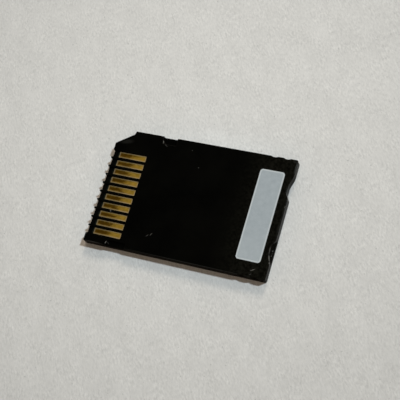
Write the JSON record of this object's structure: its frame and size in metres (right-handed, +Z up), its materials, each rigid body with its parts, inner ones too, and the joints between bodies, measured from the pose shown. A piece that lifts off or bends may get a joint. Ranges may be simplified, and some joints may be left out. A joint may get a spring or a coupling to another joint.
{
  "type": "memory card",
  "caption": "Flat black memory card with a keyed corner, a row of recessed gold contacts between ribs, latch notches in its edges and a pale write-on panel.",
  "frame": {"origin": "centre of the label face, on the surface that the card lies on", "axes": "+X from the contact edge to the rear edge, +Y towards the side with the key cut, +Z up, out of the contact face"},
  "size_m": [0.031, 0.02, 0.0016],
  "materials": {
    "case_plastic": "fine satin texture, lightly scuffed",
    "panel_film": "matt, takes a pen",
    "board_laminate": "dark solder mask",
    "contact_gold": "gold plating with wipe marks",
    "package_resin": "moulded resin",
    "capacitor_ceramic": "fired ceramic with tinned ends",
    "resistor_ceramic": "glazed ceramic with tinned ends"
  },
  "bodies": {
    "root": {"contact_cover": "case_plastic", "label_cover": "case_plastic", "write_on_panel": "panel_film", "circuit_board": "board_laminate", "contact_pad_01": "contact_gold", "contact_pad_02": "contact_gold", "contact_pad_03": "contact_gold", "contact_pad_04": "contact_gold", "contact_pad_05": "contact_gold", "contact_pad_06": "contact_gold", "contact_pad_07": "contact_gold", "contact_pad_08": "contact_gold", "contact_pad_09": "contact_gold", "contact_pad_10": "contact_gold", "flash_memory": "package_resin", "controller": "package_resin", "capacitor_1": "capacitor_ceramic", "capacitor_2": "capacitor_ceramic", "capacitor_3": "capacitor_ceramic", "capacitor_4": "capacitor_ceramic", "resistor_1": "resistor_ceramic", "resistor_2": "resistor_ceramic", "resistor_3": "resistor_ceramic", "resistor_4": "resistor_ceramic"}
  },
  "joints": []
}
